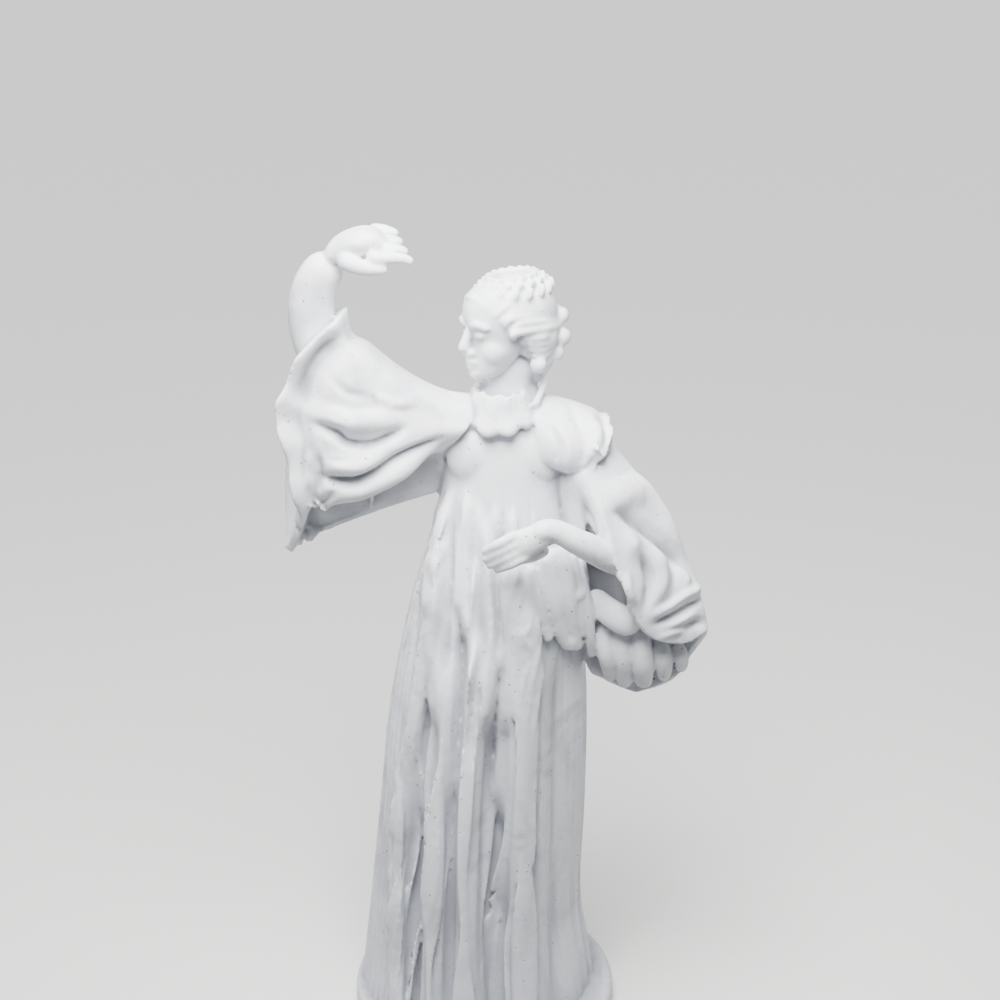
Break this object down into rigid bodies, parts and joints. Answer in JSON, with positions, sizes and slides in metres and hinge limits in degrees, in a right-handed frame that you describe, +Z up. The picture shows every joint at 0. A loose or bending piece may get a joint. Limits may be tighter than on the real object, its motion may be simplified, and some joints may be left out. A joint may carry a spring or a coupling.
{
  "type": "dancer statuette",
  "caption": "Standing dancer in a long pleated robe with wide sleeves, one arm raised over the head, on a low round base.",
  "frame": {"origin": "centre of the underside of the round base", "axes": "+Z up the figure, -Y the front, +X towards the dancer's left, which is the right of a front view"},
  "size_m": [0.0981, 0.066, 0.2004],
  "materials": {
    "marbled_plastic": "matte off-white printed plastic with grey clouding and tiny dark specks"
  },
  "bodies": {
    "root": {"dancer_figure": "marbled_plastic"}
  },
  "joints": []
}
